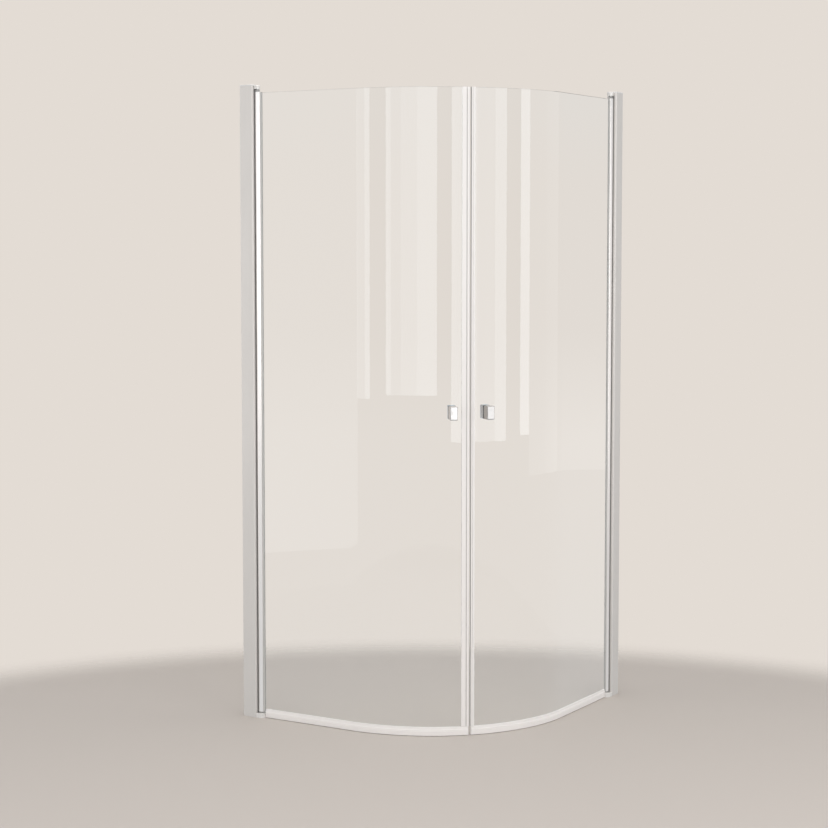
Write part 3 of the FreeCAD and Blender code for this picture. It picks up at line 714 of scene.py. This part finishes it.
class SHOWER_OT_magnet_seals(bpy.types.Operator):
    """Extrude the upright seals on the free edges, with their magnets"""

    bl_idname = "shower.magnet_seals"
    bl_label = "Magnetic seals"

    # Distances back from the meeting line: end of the nose, start and end of the clip, and edge of
    # the glass.
    plans = {"left": (0.0100, 0.0130, 0.0265, 0.0145),
             "right": (0.0074, 0.0082, 0.0142, 0.0097)}
    web_half = 0.0015
    nose_flat = 0.0003         # half the flat on the nose of a seal
    clip_edge = 0.0006         # bevel on the clip
    magnet_half = 0.0016
    magnet_front = 0.0022      # vinyl before and behind the magnet
    magnet_back = 0.0012

    def section(self, bm, side):
        """Nose, web and clip, with the hollow for the magnet."""
        size = sizes()
        nose_end, clip_start, clip_end, glass_edge = self.plans[side]
        tip, nose, clip, web = size.seal_gap / 2, size.seal_nose, size.clip_half, self.web_half
        glass, bead = size.glass_thickness / 2 + CLEARANCE, size.seal_nose - self.nose_flat
        edge = self.clip_edge
        edges = trace(
            bm, (tip, -nose + bead), (tip + bead, -nose + bead, 90),
            (nose_end, -nose), (nose_end, -web), (clip_start, -web), (clip_start, -clip),
            (clip_end - edge, -clip), (clip_end, -clip + edge), (clip_end, -glass),
            (glass_edge, -glass), (glass_edge, glass),
            (clip_end, glass), (clip_end, clip - edge), (clip_end - edge, clip),
            (clip_start, clip), (clip_start, web), (nose_end, web), (nose_end, nose),
            (tip + bead, nose), (tip + bead, nose - bead, 90))
        edges += self.magnet(bm, side, 0)
        return filled(bm, edges)

    def magnet(self, bm, side, slack):
        """The outline of the magnet, or of the hollow that it lies in when the slack is nothing."""
        start = sizes().seal_gap / 2 + self.magnet_front + slack
        end = self.plans[side][0] - self.magnet_back - slack
        half = self.magnet_half - slack
        return trace(bm, (start, -half), (end, -half), (end, half), (start, half))

    def execute(self, context):
        for side in SIDES:
            bm = bmesh.new()
            upright(bm, self.section(bm, side), SEAL_LOW.z, SEAL_HIGH.z)
            wrap(bm)
            dress(to_object(bm, side + "_edge_seal", side), side, door(side), "magnet_seal",
                  finish_of("magnet_seal"))
            bm = bmesh.new()
            upright(bm, filled(bm, self.magnet(bm, side, CLEARANCE)), STRIP_LOW.z, STRIP_HIGH.z)
            wrap(bm)
            dress(to_object(bm, side + "_edge_magnet", side), side, door(side), "magnet_strip",
                  finish_of("magnet"))
        return {"FINISHED"}


class SHOWER_OT_bottom_seals(bpy.types.Operator):
    """Sweep the seals under the panes: a clip, a drip ledge and a wiper near the floor"""

    bl_idname = "shower.bottom_seals"
    bl_label = "Bottom seals"

    groove_depth = 0.0012

    def execute(self, context):
        size = sizes()
        wide, ledge, clip = size.sweep_half, size.ledge_top, size.clip_half
        low, high = SWEEP_LOW.z, SWEEP_HIGH.z
        glass = size.glass_thickness / 2 + CLEARANCE
        start, grooved = SWEEP_LOW.x - PLAN_CORNER.x, wide - self.groove_depth
        outline = mirrored([
            # the rounded end of the wiper
            (wide - 0.0020, low), (wide - 0.0006, low + 0.0006), (wide, low + 0.0020),
            # the groove
            (wide, ledge - 0.0040), (grooved, ledge - 0.0032), (grooved, ledge - 0.0020),
            (wide, ledge - 0.0012),
            # the drip ledge
            (wide, ledge - 0.0004), (wide - 0.0005, ledge),
            # the clip, up its outside and down its inside to the edge of the glass
            (clip + 0.0003, ledge + 0.0004), (clip, high - 0.0006), (clip - 0.0005, high),
            (glass, high), (glass, GLASS_LOW.z)])
        for side in SIDES:
            bm = bmesh.new()
            faces = filled(bm, trace(bm, *outline))
            along_glass(bm, faces, start, size.sweep_setback)
            dress(to_object(bm, side + "_floor_seal", side), side, door(side), "bottom_seal",
                  finish_of("seal"))
        return {"FINISHED"}


class SHOWER_OT_knobs(bpy.types.Operator):
    """Model the block knobs outside and inside the panes"""

    bl_idname = "shower.knobs"
    bl_label = "Knobs"

    bore_radius = 0.003
    bore_depth = 0.013

    def block(self, direction):
        """One knob, rounded on all edges but those at the glass."""
        size = sizes()
        base = size.glass_thickness / 2 + CLEARANCE + size.knob_washer
        bm = bmesh.new()
        bmesh.ops.create_cube(bm, size=1)
        bmesh.ops.scale(bm, vec=(size.knob_depth, size.knob_width, KNOB_SPAN.z), verts=bm.verts)
        bmesh.ops.translate(bm, vec=(base + size.knob_depth / 2, 0, KNOB_MIDDLE.z), verts=bm.verts)
        near = base + size.knob_edge
        rounded = [edge for edge in bm.edges if max(vert.co.x for vert in edge.verts) > near]
        bmesh.ops.bevel(bm, geom=rounded, offset=size.knob_edge, affect="EDGES", segments=8,
                        profile=0.5, material=-1)
        self.face(bm, direction)
        return bm

    def face(self, bm, direction):
        """Turn what is drawn outwards or inwards, and move it to its place on the glass."""
        if direction < 0:
            turn = Matrix.Rotation(math.pi, 3, "Z")
            bmesh.ops.rotate(bm, cent=(0, 0, 0), matrix=turn, verts=bm.verts)
        on_bend(bm, sizes().knob_setback)

    def bore(self, direction):
        """The drill for the blind bore that takes the stud."""
        size = sizes()
        base = size.glass_thickness / 2 + size.knob_washer
        place = Matrix.Translation((base, 0, KNOB_MIDDLE.z))
        place = place @ Matrix.Rotation(math.pi / 2, 4, "Y")
        bm = bmesh.new()
        rod(bm, self.bore_radius, 2 * self.bore_depth, place)
        self.face(bm, direction)
        return bm

    def execute(self, context):
        for side in SIDES:
            for node, direction in (("outer_knob", 1), ("inner_knob", -1)):
                block = to_object(self.block(direction), side + "_" + node + "_block", side)
                block = drilled(block, to_object(self.bore(direction), side + "_drill", side))
                dress(block, side, door(side), node, finish_of("knob"))
        return {"FINISHED"}


# ---------------------------------------------------------------- stage
class SHOWER_OT_stage(bpy.types.Operator):
    """Set up the floor, the backdrop, the light panels and the camera"""

    bl_idname = "shower.stage"
    bl_label = "Stage"

    floor_radius = 7.0
    floor_middle = (0.80, -1.40)
    fade_start = 2.25          # where the floor fades out, from its middle
    fade_end = 2.75
    ambient_tint = (1, 0.99, 0.975)
    panel_top = 2.45
    # First and last bearing of each panel, in degrees from -Y towards +X, the height of its lower
    # edge and its radiance.
    panels = (
        (-23.5, -17.2, 0.78, 0.95), (-17.2, -13.3, 0.78, 1.75), (-1.2, 2.4, 0.80, 1.75),
        (2.4, 9.5, 0.80, 0.95), (9.5, 21, 0.80, 1.35), (21, 34.9, 0.80, 1.80),
        (45, 63.5, 0.58, 1.70), (63.5, 77, 0.58, 1.08), (77, 86.1, 0.58, 1.80),
        (98.1, 106.5, 0.60, 2.0), (106.5, 124, 0.40, 0.34), (124, 139, 0.40, 0.42),
        (139, 150, 0.40, 0.20), (-80, -23.5, 0.02, 0.55))
    lamp_power = 4.0           # of a lamp of one square metre with a radiance of 1
    # The mirrored backdrop: sine of the elevation and colour, from below upwards.
    mirrored_low = -0.25
    mirrored_shades = (
        (-0.25, (0.84, 0.88, 0.90)), (-0.18, (0.90, 0.90, 0.90)), (-0.10, (0.95, 0.93, 0.92)),
        (-0.045, (0.52, 0.49, 0.48)), (0.03, (0.50, 0.48, 0.47)), (0.08, (0.44, 0.54, 0.60)),
        (0.20, (0.50, 0.55, 0.58)), (0.32, (0.77, 0.715, 0.66)))
    overhead_size = (6.0, 6.0)
    overhead_place = (0.3, -0.5, 4.6)
    camera_place = (3.1654, -5.4197, 1.5114)
    camera_bearing = 30.93     # in degrees, as is the dip
    camera_dip = 4.42
    camera_shift = -0.0264     # in widths of the picture

    def floor(self, settings):
        bm = bmesh.new()
        bmesh.ops.create_circle(bm, cap_ends=True, segments=96, radius=self.floor_radius)
        bmesh.ops.translate(bm, vec=(*self.floor_middle, 0), verts=bm.verts)
        mesh = bpy.data.meshes.new("floor")
        bm.to_mesh(mesh)
        bm.free()
        floor = bpy.data.objects.new("floor", mesh)
        bpy.context.scene.collection.objects.link(floor)
        mesh.materials.append(self.floor_finish(settings))
        floor.visible_glossy = False

    def floor_finish(self, settings):
        """Matt floor that fades into the backdrop away from the middle."""
        material, tree, shader = blank("studio floor")
        shader.inputs["Base Color"].default_value = (*settings.floor, 1)
        shader.inputs["Roughness"].default_value = 0.8
        shader.inputs["Specular IOR Level"].default_value = 0.2
        place = tree.nodes.new("ShaderNodeTexCoord")
        centre = tree.nodes.new("ShaderNodeMapping")
        centre.inputs["Location"].default_value = (-self.floor_middle[0], -self.floor_middle[1], 0)
        reach = tree.nodes.new("ShaderNodeVectorMath")
        reach.operation = "LENGTH"
        fade = tree.nodes.new("ShaderNodeMapRange")
        fade.interpolation_type = "SMOOTHERSTEP"
        fade.inputs["From Min"].default_value = self.fade_start
        fade.inputs["From Max"].default_value = self.fade_end
        through = tree.nodes.new("ShaderNodeBsdfTransparent")
        mix = tree.nodes.new("ShaderNodeMixShader")
        tree.links.new(place.outputs["Object"], centre.inputs["Vector"])
        tree.links.new(centre.outputs["Vector"], reach.inputs[0])
        tree.links.new(reach.outputs["Value"], fade.inputs["Value"])
        tree.links.new(fade.outputs["Result"], mix.inputs["Fac"])
        tree.links.new(shader.outputs["BSDF"], mix.inputs[1])
        tree.links.new(through.outputs["BSDF"], mix.inputs[2])
        tree.links.new(mix.outputs["Shader"], tree.nodes["Material Output"].inputs["Surface"])
        return material

    def backdrop(self, settings):
        """Even light all round, with the backdrop's colour for what is seen or seen through, and
        the mirrored backdrop for what glass and metal mirror."""
        world = bpy.data.worlds.new("studio")
        bpy.context.scene.world = world
        world.use_nodes = True
        tree = world.node_tree
        light = tree.nodes["Background"]
        light.inputs["Color"].default_value = (*self.ambient_tint, 1)
        light.inputs["Strength"].default_value = settings.ambient
        seen = tree.nodes.new("ShaderNodeBackground")
        rays = tree.nodes.new("ShaderNodeLightPath")
        shade = tree.nodes.new("ShaderNodeMix")
        shade.data_type = "RGBA"
        shade.inputs["A"].default_value = (*settings.backdrop, 1)
        mirrored_ray = tree.nodes.new("ShaderNodeMath")
        mirrored_ray.operation = "SUBTRACT"
        mirrored_ray.use_clamp = True
        tree.links.new(rays.outputs["Is Glossy Ray"], mirrored_ray.inputs[0])
        tree.links.new(rays.outputs["Is Transmission Ray"], mirrored_ray.inputs[1])
        tree.links.new(mirrored_ray.outputs["Value"], shade.inputs["Factor"])
        tree.links.new(self.mirrored_backdrop(tree), shade.inputs["B"])
        tree.links.new(shade.outputs["Result"], seen.inputs["Color"])
        faced = tree.nodes.new("ShaderNodeMath")
        faced.operation = "MAXIMUM"
        shown = tree.nodes.new("ShaderNodeMath")
        shown.operation = "MAXIMUM"
        mix = tree.nodes.new("ShaderNodeMixShader")
        tree.links.new(rays.outputs["Is Camera Ray"], faced.inputs[0])
        tree.links.new(rays.outputs["Is Glossy Ray"], faced.inputs[1])
        tree.links.new(faced.outputs["Value"], shown.inputs[0])
        tree.links.new(rays.outputs["Is Transmission Ray"], shown.inputs[1])
        tree.links.new(shown.outputs["Value"], mix.inputs["Fac"])
        tree.links.new(light.outputs["Background"], mix.inputs[1])
        tree.links.new(seen.outputs["Background"], mix.inputs[2])
        tree.links.new(mix.outputs["Shader"], tree.nodes["World Output"].inputs["Surface"])

    def mirrored_backdrop(self, tree):
        """The backdrop as it shows in glass and metal, by the elevation: cooler above eye level and
        lighter below it."""
        place = tree.nodes.new("ShaderNodeTexCoord")
        split = tree.nodes.new("ShaderNodeSeparateXYZ")
        height = tree.nodes.new("ShaderNodeMapRange")
        height.inputs["From Min"].default_value = self.mirrored_low
        height.inputs["From Max"].default_value = self.mirrored_low + 1
        ramp = colour_ramp(tree, [(level - self.mirrored_low, shade)
                                  for level, shade in self.mirrored_shades])
        tree.links.new(place.outputs["Generated"], split.inputs["Vector"])
        tree.links.new(split.outputs["Z"], height.inputs["Value"])
        tree.links.new(height.outputs["Result"], ramp.inputs["Fac"])
        return ramp.outputs["Color"]

    def lamp(self, width, height, radiance, place, towards):
        """One light panel. It lights the scene, and shows only where something mirrors it."""
        lamp = bpy.data.lights.new("panel", "AREA")
        lamp.shape = "RECTANGLE"
        lamp.size = width
        lamp.size_y = height
        lamp.energy = radiance * width * height * self.lamp_power
        holder = bpy.data.objects.new("panel", lamp)
        bpy.context.scene.collection.objects.link(holder)
        holder.location = place
        holder.rotation_euler = towards.to_track_quat("-Z", "Y").to_euler()
        holder.visible_camera = False
        holder.visible_transmission = False

    def panel(self, settings, first, last, bottom, radiance):
        """One upright panel, facing the bend of the doors."""
        height = self.panel_top - bottom
        angle = math.radians((first + last) / 2)
        width = 2 * settings.panel_distance * math.tan(math.radians((last - first) / 2))
        outwards = Vector((math.sin(angle), -math.cos(angle), 0))
        bend = side_matrix("left") @ Vector((sizes().bend_start, -bend_radius(), 0))
        place = bend + outwards * settings.panel_distance + Vector((0, 0, bottom + height / 2))
        self.lamp(width, height, radiance * settings.panel, place, -outwards)

    def camera(self, settings):
        data = bpy.data.cameras.new("camera")
        data.lens = settings.lens
        data.sensor_width = 36
        data.shift_y = self.camera_shift
        camera = bpy.data.objects.new("camera", data)
        bpy.context.scene.collection.objects.link(camera)
        camera.location = self.camera_place
        camera.rotation_euler = (
            math.radians(90 - self.camera_dip), 0, math.radians(self.camera_bearing))
        bpy.context.scene.camera = camera

    def execute(self, context):
        settings = context.scene.studio_settings
        self.floor(settings)
        self.backdrop(settings)
        for panel in self.panels:
            self.panel(settings, *panel)
        self.lamp(*self.overhead_size, settings.overhead, Vector(self.overhead_place),
                  Vector((0, 0, -1)))
        self.camera(settings)
        context.scene.view_settings.view_transform = "Standard"
        return {"FINISHED"}


class SHOWER_PT_sidebar(bpy.types.Panel):
    """Lists the settings and the operators of the enclosure"""

    bl_idname = "SHOWER_PT_sidebar"
    bl_label = "Quadrant shower enclosure"
    bl_space_type = "VIEW_3D"
    bl_region_type = "UI"
    bl_category = "Shower"

    def draw(self, context):
        for operator in OPERATORS:
            self.layout.operator(operator.bl_idname)
        for group in (context.scene.enclosure_sizes, context.scene.enclosure_colours,
                      context.scene.studio_settings):
            box = self.layout.box()
            for name in group.__annotations__:
                box.prop(group, name)


OPERATORS = (
    SHOWER_OT_carried_parts, SHOWER_OT_wall_profiles, SHOWER_OT_hinge_tubes,
    SHOWER_OT_glass_panes, SHOWER_OT_gaskets, SHOWER_OT_magnet_seals, SHOWER_OT_bottom_seals,
    SHOWER_OT_knobs, SHOWER_OT_stage,
)
CLASSES = (EnclosureSizes, EnclosureColours, StudioSettings, *OPERATORS, SHOWER_PT_sidebar)


def register():
    for cls in CLASSES:
        bpy.utils.register_class(cls)
    bpy.types.Scene.enclosure_sizes = PointerProperty(type=EnclosureSizes)
    bpy.types.Scene.enclosure_colours = PointerProperty(type=EnclosureColours)
    bpy.types.Scene.studio_settings = PointerProperty(type=StudioSettings)


def unregister():
    del bpy.types.Scene.studio_settings
    del bpy.types.Scene.enclosure_colours
    del bpy.types.Scene.enclosure_sizes
    for cls in reversed(CLASSES):
        bpy.utils.unregister_class(cls)


def main():
    register()
    for operator in OPERATORS:
        group, name = operator.bl_idname.split(".")
        getattr(getattr(bpy.ops, group), name)()


if __name__ == "__main__":
    main()
